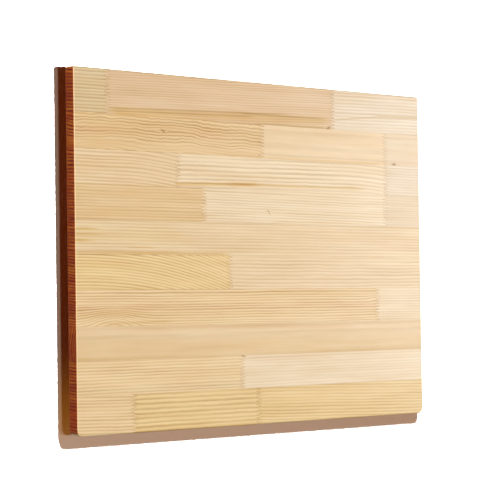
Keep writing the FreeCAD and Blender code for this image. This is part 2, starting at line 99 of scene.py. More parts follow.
def make_camera():
    """The photo's camera, fitted to the leaf's outline; yaw turns it right of straight at the wall."""
    data = bpy.data.cameras.new("camera")
    data.lens = CAMERA_LENS
    data.sensor_width = SENSOR
    camera = link(bpy.data.objects.new("camera", data))
    forward = Vector((
        math.sin(CAMERA_YAW) * math.cos(CAMERA_PITCH),
        math.cos(CAMERA_YAW) * math.cos(CAMERA_PITCH),
        math.sin(CAMERA_PITCH),
    ))
    right = Vector((math.cos(CAMERA_YAW), -math.sin(CAMERA_YAW), 0.0))
    level = Matrix((right, right.cross(forward), -forward)).transposed()
    camera.rotation_mode = "QUATERNION"
    camera.rotation_quaternion = (level @ Matrix.Rotation(CAMERA_ROLL, 3, "Z")).to_quaternion()
    camera.location = CAMERA_AT
    bpy.context.scene.camera = camera


def link_light(lamp, things, state):
    """Lets a lamp's light fall on only the things, or on all but them."""
    group = bpy.data.collections.new(lamp.name + "_" + state.lower())
    lamp.light_linking.receiver_collection = group
    for index, thing in enumerate(things):
        group.objects.link(thing)
        group.collection_objects[index].light_linking.link_state = state


def make_lamp(lamp, stage):
    data = bpy.data.lights.new(lamp.name, "AREA")
    data.shape = "RECTANGLE"
    data.size, data.size_y = lamp.size
    data.color = lamp.colour
    data.energy = lamp.level * (math.pi * lamp.distance) ** 2
    obj = link(bpy.data.objects.new(lamp.name, data))
    if lamp.name != "key":
        data.cycles.max_bounces = 0
    if "table" in lamp.lights:
        link_light(obj, [thing for name, thing in stage.items() if name not in lamp.lights], "EXCLUDE")
    else:
        link_light(obj, [thing for name, thing in stage.items() if name in lamp.lights], "INCLUDE")
    away = direction(lamp.azimuth, lamp.elevation)
    obj.location = LEAF_MIDDLE + away * lamp.distance
    obj.rotation_euler = away.to_track_quat("Z", "Y").to_euler()
    obj.visible_camera = False
    obj.visible_glossy = lamp.mirrored


# ---------------------------------------------------------------- node trees

# Where a Mix node of colours keeps its share and its two colours, and gives the mixed one.
MIX_SHARE = 0
MIX_FIRST = 6
MIX_SECOND = 7
MIX_RESULT = 2


def rgb(red, green, blue):
    return (red, green, blue, 1.0)


def even(marks):
    return (marks, marks, marks)


@dataclass
class Texture:
    """Noise with so many marks to a metre along X, Y and Z, or along whatever it is laid on."""

    marks: tuple
    detail: float = 2.0
    roughness: float = 0.5


@dataclass
class Wash:
    """A tint laid over a colour as far as a noise says: not at all at -spread, strength at spread."""

    spread: float
    strength: float
    tint: tuple


class Nodes:
    """A material's or the world's node tree, built call by call.

    A value is a number, a colour or a socket.
    """

    def __init__(self, owner):
        self.owner = owner
        owner.use_nodes = True
        self.tree = owner.node_tree
        self.tree.nodes.clear()

    def feed(self, socket, value):
        if isinstance(value, bpy.types.NodeSocket):
            self.tree.links.new(value, socket)
        else:
            socket.default_value = value

    def node(self, kind, inputs=None, **settings):
        made = self.tree.nodes.new("ShaderNode" + kind)
        for key, value in settings.items():
            setattr(made, key, value)
        for key, value in (inputs or {}).items():
            self.feed(made.inputs[key], value)
        return made

    def math(self, operation, *values):
        return self.node("Math", dict(enumerate(values)), operation=operation).outputs[0]

    def add(self, a, b):
        return self.math("ADD", a, b)

    def sub(self, a, b):
        return self.math("SUBTRACT", a, b)

    def mul(self, a, b):
        return self.math("MULTIPLY", a, b)

    def div(self, a, b):
        return self.math("DIVIDE", a, b)

    def step(self, value, low, high):
        """0 at low and before it, 1 at high and past it, smooth between; low may be the higher one."""
        inputs = {"Value": value, "From Min": low, "From Max": high}
        return self.node("MapRange", inputs, interpolation_type="SMOOTHSTEP").outputs[0]

    def span(self, value, low, high, to_low, to_high):
        """The value's range from low to high, stretched to the range from to_low to to_high."""
        inputs = {"Value": value, "From Min": low, "From Max": high, "To Min": to_low, "To Max": to_high}
        return self.node("MapRange", inputs, clamp=True).outputs[0]

    def scaled(self, vector, scale, shift):
        """vector * scale + shift, axis by axis."""
        made = self.node("VectorMath", {0: vector, 1: scale, 2: shift}, operation="MULTIPLY_ADD")
        return made.outputs[0]

    def split(self, vector):
        return self.node("SeparateXYZ", {0: vector}).outputs[:]

    def join(self, x, y, z):
        return self.node("CombineXYZ", {0: x, 1: y, 2: z}).outputs[0]

    def noise(self, place, texture, shift=(0.0, 0.0, 0.0)):
        """The texture's noise, from about -0.5 to 0.5."""
        inputs = {"Vector": self.scaled(place, texture.marks, shift), "Scale": 1.0}
        inputs.update({"Detail": texture.detail, "Roughness": texture.roughness})
        return self.sub(self.node("TexNoise", inputs).outputs[0], 0.5)

    def mix(self, share, a, b, blend="MIX"):
        inputs = {MIX_SHARE: share, MIX_FIRST: a, MIX_SECOND: b}
        return self.node("Mix", inputs, data_type="RGBA", blend_type=blend).outputs[MIX_RESULT]

    def tinted(self, share, colour, tint):
        """colour, multiplied by tint as far as share says."""
        return self.mix(share, colour, tint, "MULTIPLY")

    def washed(self, colour, noise, wash, share=1.0):
        strength = self.span(noise, -wash.spread, wash.spread, 0.0, wash.strength * share)
        return self.tinted(strength, colour, wash.tint)

    def ramp(self, value, *stops):
        """The value's curve through (place, height) stops."""
        made = self.node("ValToRGB", {0: value})
        elements = made.color_ramp.elements
        while len(elements) < len(stops):
            elements.new(1.0)
        for element, (place, height) in zip(elements, stops):
            element.position = place
            element.color = (height, height, height, 1.0)
        return made.outputs[0]

    def bump(self, height, distance, strength=1.0):
        inputs = {"Height": height, "Distance": distance, "Strength": strength}
        return self.node("Bump", inputs).outputs[0]

    def surface(self, shader):
        """Ends a material with the shader as its surface."""
        self.node("OutputMaterial", {"Surface": shader.outputs[0]})
        return self.owner

    def principled(self, **inputs):
        """Ends a material with the principled shader. Spaces in its sockets' names are _ here."""
        named = {key.replace("_", " "): value for key, value in inputs.items()}
        return self.surface(self.node("BsdfPrincipled", named))


def new_material(name):
    return Nodes(bpy.data.materials.new(name))


# ---------------------------------------------------------------- world and stage

TABLE_HEIGHT = 0.75
WALL_WIDTH = 8.0
WALL_HEIGHT = 4.5
FLOOR_DEPTH = 5.0

WHITE = rgb(1.0, 1.0, 1.0)
AMBIENT = 0.03
AMBIENT_TONE = rgb(1.0, 0.40, 0.10)

# Painted light: the wall's glow in its shadow stands in for warm bounce light; red behind the leaf, and
# from GLOW_REACH above the leaf's bottom it turns golden on the way down.
EMBER = rgb(0.058, 0.005, 0.0)
GLOW = rgb(0.19, 0.058, 0.002)
GLOW_REACH = 0.13
MIRRORED_WALL = 0.35

# How far from the leaf's middle the backdrop's own white begins, and where it is full.
WHITE_FROM = 0.9
WHITE_TO = 1.9


@dataclass
class Plaster:
    """A matt stage surface: its tone, its mottling, and the grain of its paint and how high it is."""

    tone: tuple
    mottle: Texture
    wash: Wash
    grain: Texture
    relief: float


WALL_PAINT = Plaster(
    tone=rgb(0.96, 0.96, 0.96),
    mottle=Texture(even(9.0), 4.0),
    wash=Wash(0.5, 0.05, rgb(0.90, 0.90, 0.90)),
    grain=Texture(even(420.0)),
    relief=0.0004,
)
FLOOR_PAINT = Plaster(
    tone=rgb(0.90, 0.89, 0.87),
    mottle=Texture(even(3.0), 5.0),
    wash=Wash(0.5, 0.10, rgb(0.85, 0.85, 0.85)),
    grain=Texture(even(300.0)),
    relief=0.0003,
)


def straight_mirrored(s, path):
    """1 on rays that a surface in the camera's sight mirrors, 0 on all others."""
    return s.mul(path["Is Glossy Ray"], s.math("LESS_THAN", path["Diffuse Depth"], 0.5))


def make_world():
    """White for the camera and in what mirrors it, and a faint warm light for everything else."""
    world = bpy.data.worlds.new("studio")
    bpy.context.scene.world = world
    world.cycles.sampling_method = "NONE"
    s = Nodes(world)
    path = s.node("LightPath").outputs
    seen = s.math("MAXIMUM", path["Is Camera Ray"], straight_mirrored(s, path))
    room = s.node("Background", {"Color": AMBIENT_TONE, "Strength": AMBIENT})
    backdrop = s.node("Background", {"Color": WHITE})
    mix = s.node("MixShader", {0: seen, 1: room.outputs[0], 2: backdrop.outputs[0]})
    s.node("OutputWorld", {"Surface": mix.outputs[0]})


def stage_plane(name, corners, material):
    mesh = bpy.data.meshes.new(name)
    mesh.from_pydata(corners, [], [tuple(range(len(corners)))])
    mesh.materials.append(material)
    obj = link(bpy.data.objects.new(name, mesh))
    return obj


def plastered(s, place, look):
    """The stage surface's own matt paint."""
    tone = s.washed(look.tone, s.noise(place, look.mottle), look.wash)
    bumps = s.bump(s.noise(place, look.grain), look.relief)
    return s.node("BsdfDiffuse", {"Color": tone, "Normal": bumps})


def backdrop_white(s, place, camera_ray):
    """White that the camera alone sees and that grows with the distance from the leaf's middle."""
    away = s.node("VectorMath", {0: place, 1: LEAF_MIDDLE}, operation="DISTANCE").outputs["Value"]
    strength = s.mul(s.step(away, WHITE_FROM, WHITE_TO), camera_ray)
    return s.node("Emission", {"Color": WHITE, "Strength": strength})


def one_sided(s, front):
    """Ends a stage material: from behind, and for lamps behind it, the surface isn't there."""
    clear = s.node("BsdfTransparent")
    shadow_ray = s.node("LightPath").outputs["Is Shadow Ray"]
    gone = s.math("MAXIMUM", s.node("NewGeometry").outputs["Backfacing"], shadow_ray)
    return s.surface(s.node("MixShader", {0: gone, 1: front.outputs[0], 2: clear.outputs[0]}))


def wall_material():
    """White paint, with a painted glow in its shadows, standing in for warm bounce light, that only the
    camera sees.

    Mirrored in the table it is an even grey, since the wall's lamps don't bounce.
    """
    s = new_material("wall_paint")
    place = s.node("TexCoord").outputs["Object"]
    path = s.node("LightPath").outputs
    camera_ray = path["Is Camera Ray"]
    paint = plastered(s, place, WALL_PAINT)
    # The painted bounce light: an emission seen by the camera alone, golden near the leaf's bottom.
    low = s.step(s.split(place)[2], LEAF_LOW.z + GLOW_REACH, LEAF_LOW.z)
    glow = s.node("Emission", {"Color": s.mix(low, EMBER, GLOW), "Strength": camera_ray})
    white = backdrop_white(s, place, camera_ray)
    seen = s.node("AddShader", {0: glow.outputs[0], 1: white.outputs[0]})
    lit = s.node("AddShader", {0: paint.outputs[0], 1: seen.outputs[0]})
    grey = s.node("Emission", {"Color": WALL_PAINT.tone, "Strength": MIRRORED_WALL})
    inputs = {0: straight_mirrored(s, path), 1: lit.outputs[0], 2: grey.outputs[0]}
    return one_sided(s, s.node("MixShader", inputs))


def floor_material():
    s = new_material("pale_floor")
    place = s.node("TexCoord").outputs["Object"]
    paint = plastered(s, place, FLOOR_PAINT)
    white = backdrop_white(s, place, s.node("LightPath").outputs["Is Camera Ray"])
    return one_sided(s, s.node("AddShader", {0: paint.outputs[0], 1: white.outputs[0]}))


def make_stage():
    """The wall and the floor, which lies TABLE_HEIGHT below the leaf's top."""
    floor_z = LEAF_HIGH.z - TABLE_HEIGHT
    half = WALL_WIDTH / 2
    top = floor_z + WALL_HEIGHT
    wall = [(-half, 0, floor_z), (half, 0, floor_z), (half, 0, top), (-half, 0, top)]
    front = [(-half, -FLOOR_DEPTH, floor_z), (half, -FLOOR_DEPTH, floor_z)]
    back = [(half, FLOOR_DEPTH, floor_z), (-half, FLOOR_DEPTH, floor_z)]
    return {
        "wall": stage_plane("wall", wall, wall_material()),
        "floor": stage_plane("floor", front + back, floor_material()),
    }


# ---------------------------------------------------------------- pine

HONEY = rgb(0.880, 0.724, 0.489)
HAY = rgb(0.850, 0.666, 0.401)
PALE = rgb(0.932, 0.825, 0.639)
WHEAT = rgb(0.888, 0.747, 0.524)
CREAM = rgb(0.860, 0.775, 0.636)
LINEN = rgb(0.840, 0.719, 0.541)
ROSE = rgb(0.814, 0.642, 0.446)
GOLD = rgb(0.922, 0.751, 0.426)
BUFF = rgb(0.775, 0.647, 0.421)
STRAW = rgb(0.939, 0.779, 0.512)
TOFFEE = rgb(0.773, 0.568, 0.308)
AMBER = rgb(0.766, 0.543, 0.215)
OLIVE = rgb(0.650, 0.475, 0.225)
BLUSH = rgb(0.820, 0.520, 0.330)
LATE_WOOD = rgb(0.58, 0.43, 0.23)
END_LIGHT = rgb(0.64, 0.150, 0.012)
END_WARM = rgb(0.46, 0.065, 0.001)
END_DARK = rgb(0.20, 0.010, 0.001)
# Painted highlight, with some sanded wear, for the rounding of the edges towards the leaf's ends.
WORN_EDGE_HIGHLIGHT = rgb(1.0, 0.66, 0.32)
# Painted shade for the rounding of the edges that turns up.
PAINTED_TOP_SHADE = rgb(0.70, 0.70, 0.68)
KNOT_HEART = rgb(0.24, 0.14, 0.04)
KNOT_RIM = rgb(0.68, 0.52, 0.27)
FLECK_TINT = rgb(0.55, 0.38, 0.24)
PORE_TINT = rgb(0.60, 0.50, 0.40)
GLUE = rgb(0.62, 0.44, 0.24)

# Noises along the leaf, through it and across its grain, and the washes that they lay on it.
SHIVER = Texture((60.0, 90.0, 160.0))
DRIFT = Texture((6.0, 25.0, 80.0))
FIBRE = Texture((22.0, 1500.0, 1500.0), 3.0, 0.7)
STREAK = Texture((7.0, 240.0, 240.0))
FLECK = Texture((130.0, 2600.0, 2600.0), 1.0)
CLOUD = Texture((3.0, 8.0, 60.0), 3.0)
BLOT = Texture((14.0, 20.0, 90.0))
PORE = Texture(even(2600.0), 1.0)
SMUDGE = Texture(even(260.0))
STREAK_WASH = Wash(0.4, 0.55, rgb(0.84, 0.76, 0.64))
FIBRE_WASH = Wash(0.4, 0.6, rgb(0.88, 0.82, 0.74))
CLOUD_WASH = Wash(0.25, 1.0, rgb(0.90, 0.83, 0.70))
BLOT_WASH = Wash(0.25, 0.5, rgb(0.94, 0.84, 0.76))
END_WASH = Wash(0.25, 0.8, rgb(0.70, 0.90, 0.80))

# The waves' marks through the leaf and across it; their length along it is the stave's own.
WAVE_MARKS = (14.0, 22.0)
RIPPLE_MARKS = (30.0, 45.0)
SHIVER_SHARE = 0.25

# How far a stave's seed moves the noises of its waves along the leaf, through it and across it, and
# how much its row's and its own number add to the seed.
SEED_TURNS = (1.0, 1.7, 0.6)
SEED_ROW = 3.7
SEED_STAVE = 11.3

# How unevenly the rings follow each other: the noise has this many marks to a ring.
UNEVEN = Texture((0.37, 1.0, 1.0), 1.0)
UNEVEN_RINGS = 0.8

# One year's wood, from the early part at 0 to the dark late line near 1, as (place, darkness).
YEAR = ((0.0, 0.15), (0.14, 0.0), (0.42, 0.1), (0.76, 1.0), (0.92, 0.85), (1.0, 0.15))
YEAR_RANGE = (0.70, 1.05)
DRIFT_SPREAD = 0.25
DRIFT_RANGE = (0.35, 1.4)

# Where a band's side fades out and where it is full, in widths, and how long its ends fade.
BAND_SIDE = (0.6, 0.1)
BAND_RAGGED = 0.5
BAND_CLOUD = 0.3
BAND_CLOUD_RANGE = (0.6, 1.3)
BAND_START_FADE = 0.03
BAND_END_FADE = 0.04
BAND_LINES = (0.1, 0.8)

# How far the surface has to turn to the leaf's ends, or up, for a look to begin and to be full: the end
# grain, the painted highlight and the painted shade.
END_TURN = (0.62, 0.92)
ROUND_BEGINS = (0.06, 0.30)
ROUND_ENDS = (0.80, 0.62)
TOP_SHADE_BEGINS = (0.12, 0.40)
TOP_SHADE_ENDS = (0.98, 0.85)
WORN_HIGHLIGHT_SHARE = 0.85
END_PATCHES = 0.12
END_LINES = 1.6
PORE_EDGE = (0.05, 0.25)
PORE_SHARE = 0.4
FLECK_EDGE = (0.19, 0.30)
FLECK_SHARE = 0.35

# A knot's swell is this many radii long and high. Its own half length and height are shares of its
# radius, and so is how far its heart and its rim reach, out and in.
SWELL_LENGTH = 7
SWELL_HEIGHT = 3
KNOT_LENGTH = 1.7
KNOT_HEIGHT = 0.7
KNOT_RAGGED = 1.2
RIM_EDGE = (2.2, 0.8)
RIM_SHARE = 0.45
HEART_EDGE = (1.1, 0.5)
HEART_SHARE = 0.75

JOINT_LENGTH = 0.010
JOINT_PITCH = 0.005
GLUE_LINE = 0.00022
GLUE_SHARE = 0.7
SMUDGE_EDGE = (-0.02, 0.16)
SMUDGE_SHARE = 0.6
SMUDGE_REACH = 0.0016

# How high each part of the relief stands, as a share of WOOD_RELIEF.
WOOD_RELIEF = 0.00012
WOOD_RELIEF_STRENGTH = 0.6
LATE_HEIGHT = 0.5
FIBRE_HEIGHT = 0.8
FLECK_DEPTH = 0.5
GLUE_DEPTH = 0.8

# Fibres and clouds together, over the first range, make the wood rough over the second.
CLOUD_ROUGH = 0.6
WOOD_ROUGH_FROM = (-0.4, 0.4)
WOOD_ROUGH = (0.27, 0.40)
END_ROUGHER = 0.2
WOOD_IOR = 1.36
LACQUER = 0.12
LACQUER_ROUGH = 0.24


@dataclass
class Band:
    """A coloured stripe along the grain, at a depth below the leaf's wall edge, between two ends.

    calm is how far it hides the rings, lined how far its colour keeps to their dark lines.
    """

    depth: float
    width: float
    colour: tuple
    strength: float
    climb: float = 0.0
    start: float = -1.0
    end: float = 2.0
    calm: float = 0.0
    lined: float = 0.5


@dataclass
class Knot:
    """A small knot, placed by its distance from the leaf's left end and its wall edge."""

    along: float
    depth: float
    radius: float = 0.0015
    swell: float = 0.002
    slant: float = 0.3


@dataclass
class Swell:
    """A rise of the grain, as where it runs round a branch under the surface."""

    along: float
    depth: float
    reach: float
    height: float
    rise: float


@dataclass
class Grain:
    """How a stave was cut from its log, and its tone.

    ring is how wide a year's ring is, late how dark its late wood is. pith is how far the log's
    heart lies above the stave's wall edge and in front of the leaf's face. slope is how fast the
    rings drop along the leaf, and bend curves them down past bend_from. wave and ripple are the
    heights of the rings' long and short waves.
    """

    tone: tuple = HONEY
    ring: float = 0.0045
    late: float = 0.55
    pith: tuple = (0.25, 0.02)
    slope: float = 0.0
    bend: float = 0.0
    bend_from: float = 0.0
    wave: float = 0.0016
    wave_length: float = 0.22
    ripple: float = 0.0004
    ripple_length: float = 0.03
    cloudy: float = 0.8
    seed: float = 0.0
    bands: tuple = ()
    knots: tuple = ()
    swells: tuple = ()


STAVES = {
    (1, 1): Grain(BUFF, 0.0046, 0.60, slope=-0.01),
    (1, 2): Grain(ROSE, 0.0036, 0.45, slope=-0.03, cloudy=0.9, bands=(
        Band(0.0590, 0.0150, TOFFEE, 1.0, -0.019, 0.05, 0.51, lined=0.0),
        Band(0.0558, 0.0034, OLIVE, 1.0, -0.029, 0.05, 0.42, lined=0.0),
        Band(0.0592, 0.0028, OLIVE, 1.0, -0.024, 0.05, 0.35, lined=0.0),
        Band(0.0600, 0.0030, AMBER, 1.0, 0.004, 0.06, 0.28, lined=0.0),
        Band(0.0500, 0.0034, OLIVE, 0.9, -0.008, 0.30, 0.50, lined=0.0),
        Band(0.0640, 0.0040, OLIVE, 1.0, -0.009, 0.33, 0.51, lined=0.0),
        Band(0.006, 0.012, BLUSH, 0.15),
    ), knots=(Knot(0.4945, 0.0592, 0.0022, slant=-0.3),)),
    (1, 3): Grain(CREAM, 0.0050, 0.42, slope=-0.02, bands=(
        Band(0.1000, 0.0036, OLIVE, 0.6, -0.105, 0.49, 0.63, lined=0.0),
        Band(0.0480, 0.0040, OLIVE, 0.7, -0.020, 0.59, lined=0.0),
        Band(0.004, 0.014, ROSE, 0.85),
    )),
    (2, 1): Grain(HAY, 0.0046, 0.85, pith=(0.16, 0.02), slope=0.016, wave=0.006,
                  wave_length=0.075, ripple=0.0019, ripple_length=0.016, cloudy=1.0, bands=(
        Band(0.1035, 0.017, GOLD, 0.95, calm=0.85, lined=0.0),
        Band(0.086, 0.012, BLUSH, 0.50, 0.0, -1.0, 0.09),
        Band(0.082, 0.010, BLUSH, 0.45, 0.0, 0.20, 0.30),
        Band(0.064, 0.005, AMBER, 0.55, 0.01, -1.0, 0.16),
    ), knots=(Knot(0.160, 0.0805, 0.0018, slant=0.5), Knot(0.347, 0.107, 0.0008))),
    (2, 2): Grain(WHEAT, 0.0040, 0.22, pith=(-0.02, 0.05), cloudy=1.0, bands=(
        Band(0.066, 0.010, ROSE, 0.5, 0.0, 0.44, 0.62),
        Band(0.085, 0.045, GOLD, 0.25, 0.0, 0.575, 0.625),
        Band(0.1098, 0.0034, AMBER, 0.7, -0.001, 0.34, 0.63, lined=0.0),
    )),
    (2, 3): Grain(LINEN, 0.0040, 0.15, pith=(-0.03, 0.04), bands=(
        Band(0.1085, 0.003, AMBER, 0.4),
    ), knots=(Knot(0.641, 0.1088, 0.0026, slant=0.0),)),
    (3, 1): Grain(HONEY, 0.0050, 0.50, bend=0.75, bend_from=0.085, bands=(
        Band(0.1595, 0.004, AMBER, 0.6, -0.004, -1.0, 0.16),
    )),
    (3, 2): Grain(PALE, 0.0062, 0.50, slope=-0.01, bend=0.5, bend_from=0.53, cloudy=0.9, bands=(
        Band(0.1600, 0.0075, AMBER, 1.0, -0.030, -1.0, 0.36, lined=0.1),
        Band(0.1520, 0.0075, AMBER, 0.80, -0.004, 0.27, 0.58, lined=0.3),
        Band(0.1365, 0.0030, AMBER, 0.35, 0.004, 0.20, 0.45),
    ), knots=(Knot(0.6215, 0.1585, 0.0012),)),
    (3, 3): Grain(CREAM, 0.0042, 0.35, bands=(Band(0.159, 0.0025, AMBER, 0.45),)),
    (4, 1): Grain(HAY, 0.0042, 0.52, bands=(
        Band(0.180, 0.022, ROSE, 0.7, 0.0, -1.0, 0.11),
        Band(0.165, 0.008, GOLD, 0.4, 0.01, 0.02, 0.24),
    )),
    (4, 2): Grain(PALE, 0.0040, 0.45, slope=0.01, cloudy=1.0, bands=(
        Band(0.179, 0.0016, OLIVE, 0.7, 0.004, 0.26, 0.34),
        Band(0.192, 0.0016, OLIVE, 0.6, 0.004, 0.24, 0.33),
        Band(0.206, 0.003, AMBER, 0.6, -0.006, 0.36, 0.62),
    ), knots=(Knot(0.365, 0.1895, 0.0015, slant=1.4),)),
    (4, 3): Grain(LINEN, 0.0038, 0.28, bands=(Band(0.182, 0.0016, OLIVE, 0.5),)),
    (5, 1): Grain(WHEAT, 0.0046, 0.42, cloudy=1.0, bands=(
        Band(0.2195, 0.0040, AMBER, 1.0, 0.0, -1.0, 0.055, lined=0.0),
        Band(0.2270, 0.0030, AMBER, 0.8, 0.0, -1.0, 0.06, lined=0.0),
        Band(0.2355, 0.0044, AMBER, 1.0, 0.0, -1.0, 0.045, lined=0.0),
        Band(0.228, 0.040, GOLD, 0.45, 0.0, -1.0, 0.22),
        Band(0.2515, 0.0034, AMBER, 1.0, 0.001, -1.0, 0.30, lined=0.1),
        Band(0.2440, 0.0026, AMBER, 0.8, 0.003, 0.08, 0.16, lined=0.0),
    )),
    (6, 1): Grain(GOLD, 0.0042, 0.70, bend=0.62, bend_from=0.02, bands=(
        Band(0.2545, 0.0020, AMBER, 0.7),
    )),
    (6, 2): Grain(WHEAT, 0.0052, 0.42, wave=0.0026, wave_length=0.12),
    (7, 1): Grain(STRAW, 0.0040, 0.75, cloudy=1.0, swells=(
        Swell(0.067, 0.347, 0.040, 0.016, 0.014),
        Swell(0.595, 0.318, 0.015, 0.006, 0.003),
    ), bands=(
        Band(0.328, 0.012, BLUSH, 0.35),
        Band(0.3495, 0.0050, AMBER, 0.7, -0.012, 0.03, 0.19, lined=0.2),
        Band(0.349, 0.003, AMBER, 0.5, 0.0, 0.24, 0.60),
    )),
    (7, 2): Grain(PALE, 0.0040, 0.4),
    (8, 1): Grain(HONEY, 0.0048, 0.22, pith=(-0.03, 0.06), cloudy=0.9, bands=(
        Band(0.358, 0.008, BLUSH, 0.25),
        Band(0.387, 0.030, AMBER, 0.26, lined=0.0),
        Band(0.3965, 0.004, AMBER, 0.3),
    )),
    (9, 1): Grain(STRAW, 0.0045, 0.50, bands=(Band(0.440, 0.012, BUFF, 0.5),)),
    (9, 2): Grain(PALE, 0.0044, 0.25, knots=(Knot(0.3085, 0.4000, 0.0024, slant=0.1),), bands=(
        Band(0.404, 0.012, BLUSH, 0.3, 0.0, 0.30, 0.52),
    )),
    (10, 1): Grain(STRAW, 0.0046, 0.62, slope=0.03, bands=(Band(0.4975, 0.004, AMBER, 0.45),)),
    (10, 2): Grain(GOLD, 0.0062, 0.66, bands=(
        Band(0.4930, 0.006, AMBER, 0.30, 0.0, -1.0, 0.28),
        Band(0.4975, 0.004, AMBER, 0.35),
    )),
    (10, 3): Grain(GOLD, 0.0046, 0.5, slope=0.03, cloudy=1.0, bands=(
        Band(0.480, 0.030, AMBER, 0.36, lined=0.8),
    )),
}


def pine_place(s):
    """Object coordinates as (along from the left end, behind the face, below the wall edge)."""
    place = s.node("TexCoord").outputs["Object"]
    shift = (-LEAF_LOW.x, -LEAF_LOW.y, LEAF_HIGH.z)
    return s.scaled(place, (1.0, 1.0, -1.0), shift)


def hill(s, along, depth, centre, reach, height):
    """A smooth bump: 1 at the centre, and fading over reach along the leaf and height across it."""
    a = s.div(s.sub(along, centre[0]), reach)
    d = s.div(s.sub(depth, centre[1]), height)
    squares = s.add(s.mul(a, a), s.mul(d, d))
    return s.math("POWER", math.e, s.mul(squares, -1.0))


def pine_rings(s, grain, place, low, high):
    """How many rings lie between the log's heart and each point."""
    along, behind, depth = s.split(place)
    middle = (low.x + high.x) / 2 - LEAF_LOW.x
    top = LEAF_HIGH.z - high.z
    across = s.sub(depth, top - grain.pith[0])
    across = s.sub(across, s.mul(s.sub(along, middle), grain.slope))
    if grain.bend:
        past = s.math("MAXIMUM", s.sub(along, grain.bend_from), 0.0)
        across = s.sub(across, s.mul(s.mul(past, past), grain.bend))
    shift = tuple(grain.seed * turn for turn in SEED_TURNS)
    long_wave = s.noise(place, Texture((1 / grain.wave_length, *WAVE_MARKS), 1.0), shift)
    across = s.add(across, s.mul(long_wave, 2 * grain.wave))
    short_wave = s.noise(place, Texture((1 / grain.ripple_length, *RIPPLE_MARKS), 1.0), shift)
    across = s.add(across, s.mul(short_wave, 2 * grain.ripple))
    across = s.add(across, s.mul(s.noise(place, SHIVER, shift), SHIVER_SHARE * grain.ring))
    for knot in grain.knots:
        reach = SWELL_LENGTH * knot.radius
        rise = hill(s, along, depth, (knot.along, knot.depth), reach, SWELL_HEIGHT * knot.radius)
        side = s.math("SIGN", s.sub(depth, knot.depth))
        across = s.sub(across, s.mul(s.mul(rise, side), knot.swell))
    for swell in grain.swells:
        lift = hill(s, along, depth, (swell.along, swell.depth), swell.reach, swell.height)
        across = s.add(across, s.mul(lift, swell.rise))
    inward = s.add(behind, grain.pith[1])
    radius = s.math("SQRT", s.add(s.mul(across, across), s.mul(inward, inward)))
    count = s.div(radius, grain.ring)
    uneven = s.noise(s.join(count, grain.seed, 0.0), UNEVEN)
    return s.add(count, s.mul(uneven, UNEVEN_RINGS))


def joint_line(s, along, depth, box_x, low, high):
    """Distance across the grain from the zigzag of a finger joint whose first tips are at box_x."""
    height = high.z - low.z
    fingers = max(3, round(height / JOINT_PITCH))
    pitch = height / fingers
    top = LEAF_HIGH.z - high.z
    swing = s.math("PINGPONG", s.sub(depth, top), pitch / 2)
    line = s.add(s.mul(swing, 2 * JOINT_LENGTH / pitch), box_x - LEAF_LOW.x)
    slant = pitch / (2 * JOINT_LENGTH)
    return s.mul(s.math("ABSOLUTE", s.sub(along, line)), slant)


def glue_lines(s, place, low, high):
    """1 in the glue lines round a stave, less in the smudges along its finger joints, 0 elsewhere."""
    along, behind, depth = s.split(place)
    edges = []
    for z in (low.z, high.z):
        if LEAF_LOW.z < z - GLUE_LINE and z + GLUE_LINE < LEAF_HIGH.z:
            edges.append(s.math("ABSOLUTE", s.sub(depth, LEAF_HIGH.z - z)))
    joints = []
    if low.x > LEAF_LOW.x + GLUE_LINE:
        joints.append(joint_line(s, along, depth, low.x, low, high))
    if high.x < LEAF_HIGH.x - GLUE_LINE:
        joints.append(joint_line(s, along, depth, high.x - JOINT_LENGTH, low, high))
    distances = edges + joints
    nearest = distances[0]
    for distance in distances[1:]:
        nearest = s.math("MINIMUM", nearest, distance)
    glue = s.step(nearest, GLUE_LINE, GLUE_LINE / 3)
    blots = s.mul(s.step(s.noise(place, SMUDGE), *SMUDGE_EDGE), SMUDGE_SHARE)
    for joint in joints:
        glue = s.math("MAXIMUM", glue, s.mul(s.step(joint, SMUDGE_REACH, 0.0), blots))
    return glue


def tint_to(tone, colour):
    """The tint that turns tone into colour."""
    return rgb(*(min(part / whole, 1.0) for part, whole in zip(colour[:3], tone[:3])))


def band_share(s, band, along, depth, marks):
    """How strongly a band shows at each point: ragged along its sides and faded at its ends."""
    centre = s.add(s.mul(along, band.climb), band.depth)
    near = s.math("ABSOLUTE", s.sub(depth, centre))
    ragged = s.add(near, s.mul(marks.streak, BAND_RAGGED * band.width))
    share = s.mul(s.step(ragged, *(side * band.width for side in BAND_SIDE)), band.strength)
    share = s.mul(share, s.span(marks.cloud, -BAND_CLOUD, BAND_CLOUD, *BAND_CLOUD_RANGE))
    if band.start > 0:
        share = s.mul(share, s.step(along, band.start, band.start + BAND_START_FADE))
    if band.end < 1:
        share = s.mul(share, s.step(along, band.end, band.end - BAND_END_FADE))
    return share


def late_wood(s, grain, place, rings):
    """How dark each point is as late wood: each ring has its own strength, and it drifts along it."""
    late = s.ramp(s.math("FRACT", rings), *YEAR)
    number = s.add(s.math("FLOOR", rings), grain.seed)
    own = s.node("TexWhiteNoise", {"W": number}, noise_dimensions="1D").outputs[0]
    late = s.mul(late, s.span(own, 0.0, 1.0, *YEAR_RANGE))
    drift = s.noise(place, DRIFT)
    return s.mul(late, s.span(drift, -DRIFT_SPREAD, DRIFT_SPREAD, *DRIFT_RANGE))


@dataclass
class Marks:
    """The noises that every look of a stave shares."""

    fibre: object
    streak: object
    fleck: object
    cloud: object
    blot: object


def pine_marks(s, grain, place):
    shift = (grain.seed, 0.0, grain.seed)
    return Marks(
        fibre=s.noise(place, FIBRE),
        streak=s.noise(place, STREAK),
        fleck=s.step(s.noise(place, FLECK), *FLECK_EDGE),
        cloud=s.noise(place, CLOUD, shift),
        blot=s.noise(place, BLOT, shift),
    )


